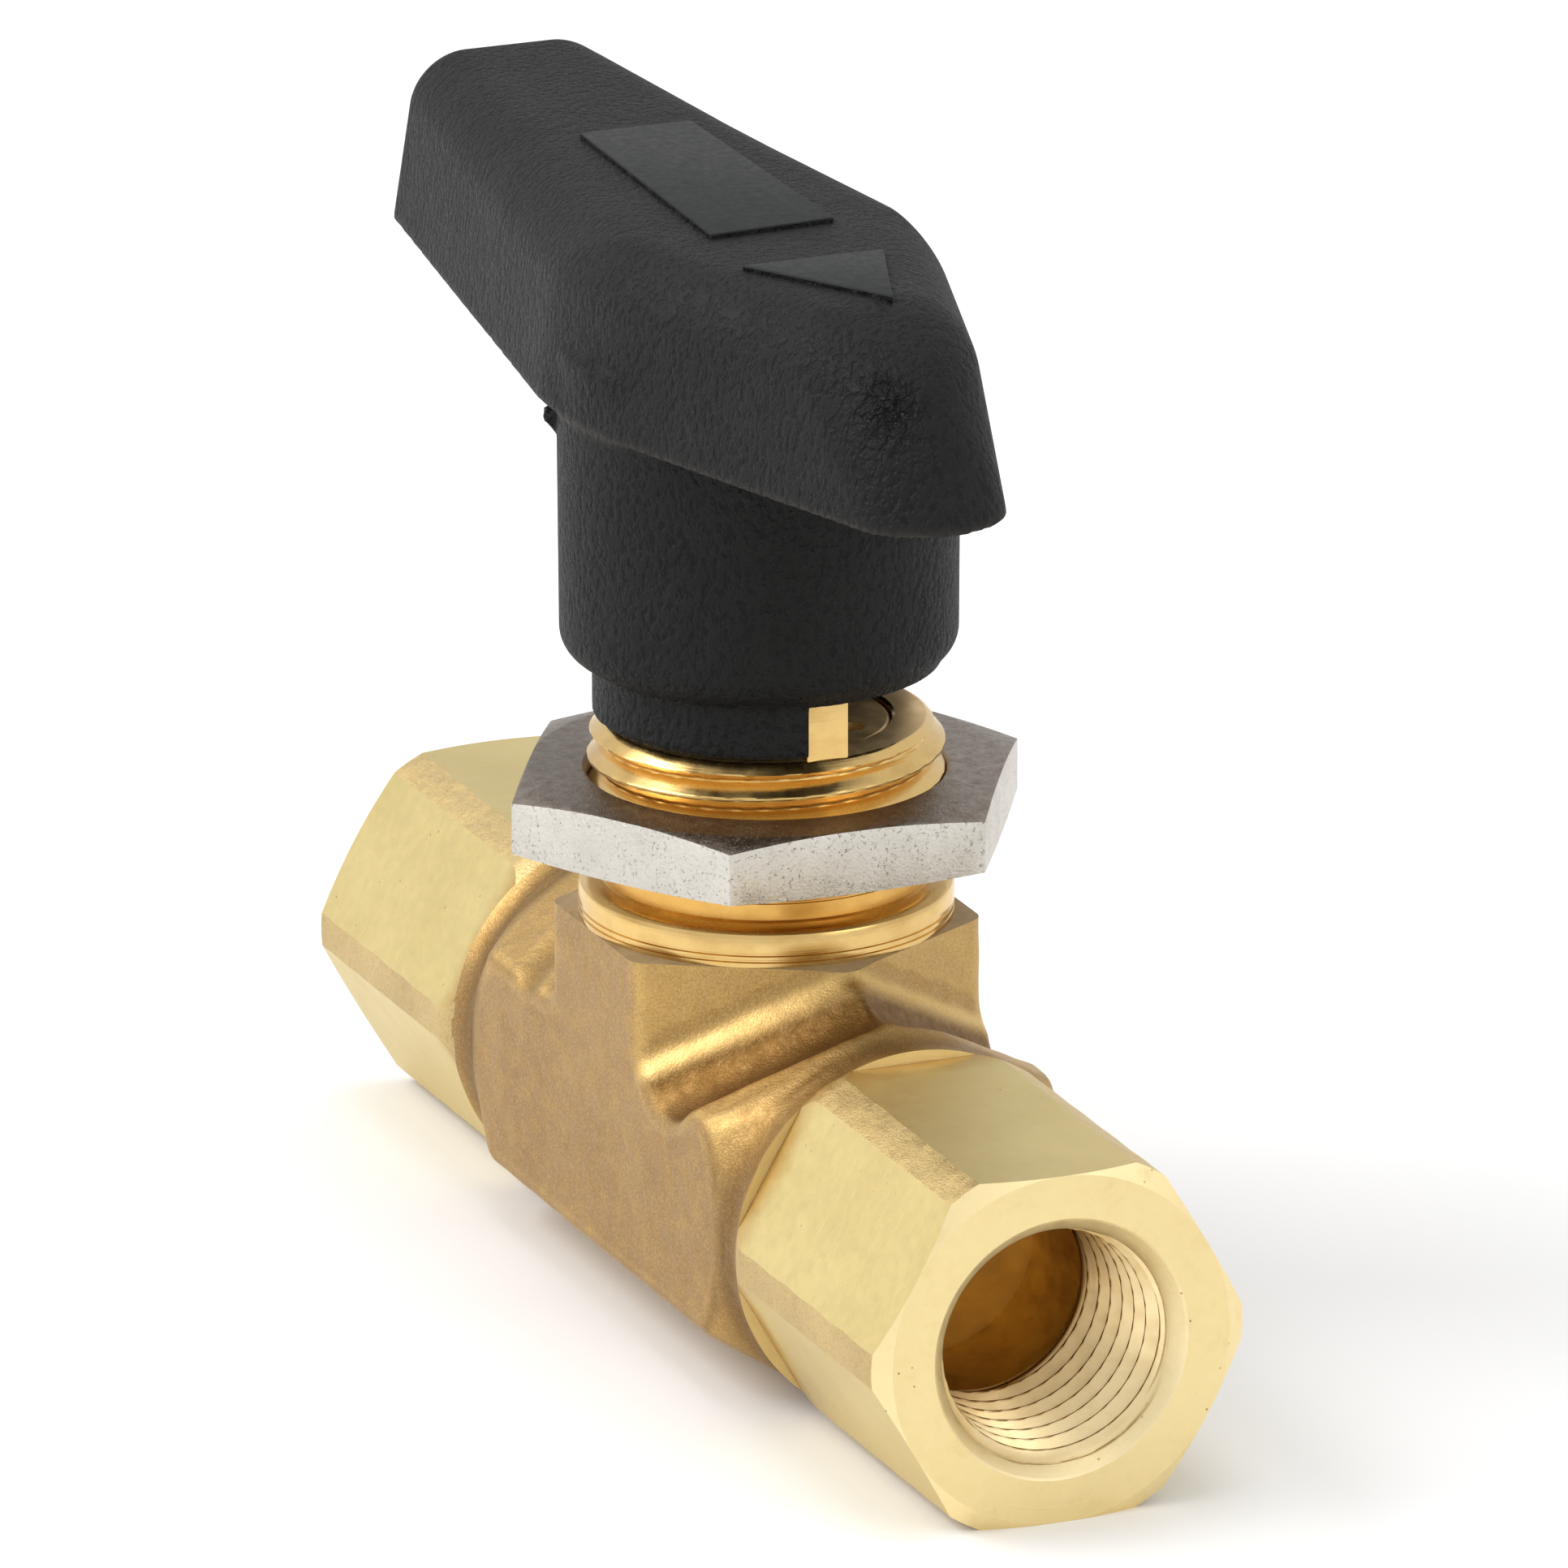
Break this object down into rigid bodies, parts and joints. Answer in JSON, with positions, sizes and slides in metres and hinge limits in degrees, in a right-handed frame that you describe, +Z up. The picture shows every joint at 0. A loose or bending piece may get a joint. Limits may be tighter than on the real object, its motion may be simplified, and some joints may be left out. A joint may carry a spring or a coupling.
{
  "type": "quarter-turn ball valve",
  "caption": "Compact brass quarter-turn ball valve with female pipe ports in hexagonal ends, a threaded panel-mounting neck with its nut, and a black lever handle with a positive stop.",
  "frame": {"origin": "on the plane that the hexagonal ends rest on, under the stem axis", "axes": "+Z up the stem axis; +X along the flow axis towards the port that the handle's arrow points at"},
  "size_m": [0.08, 0.0294, 0.06],
  "materials": {
    "body_brass": "milled hexagons and turned neck, with a grit-blasted forged centre section",
    "inner_brass": "turned",
    "plated_nut": "satin nickel plate with fine pits",
    "steel": "fine turned",
    "ptfe": "waxy white",
    "o_ring": "satin",
    "black_nylon": "moulded, with a fine leather-like grain"
  },
  "bodies": {
    "body": {"valve_body": "body_brass", "packing_nut": "inner_brass", "packing_gland": "inner_brass", "seat_inlet": "ptfe", "seat_outlet": "ptfe", "seat_carrier_inlet": "steel", "seat_carrier_outlet": "steel", "seat_o_ring_inlet": "o_ring", "seat_o_ring_outlet": "o_ring", "seat_disc_spring_inlet": "steel", "seat_disc_spring_outlet": "steel", "lower_bearing_disc": "ptfe", "stem_thrust_washer": "ptfe", "packing_ring_lower": "ptfe", "packing_ring_upper": "ptfe", "gland_disc_spring_lower": "steel", "gland_disc_spring_upper": "steel", "neck_o_ring": "o_ring"},
    "rotor": {"ball_stem": "steel", "handle": "black_nylon", "handle_set_screw": "steel", "stem_o_ring": "o_ring", "stem_backup_ring": "ptfe"},
    "nut": {"panel_nut": "plated_nut"}
  },
  "joints": [
    {"name": "handle_turn", "type": "hinge", "parent": "body", "child": "rotor", "pos_m": [0, 0, 0.0415], "axis": [0, 0, 1], "range_deg": [-90, 0]},
    {"name": "panel_nut_travel", "type": "slide", "parent": "body", "child": "nut", "axis": [0, 0, 1], "range_m": [-0.0026, 0.0024]}
  ]
}
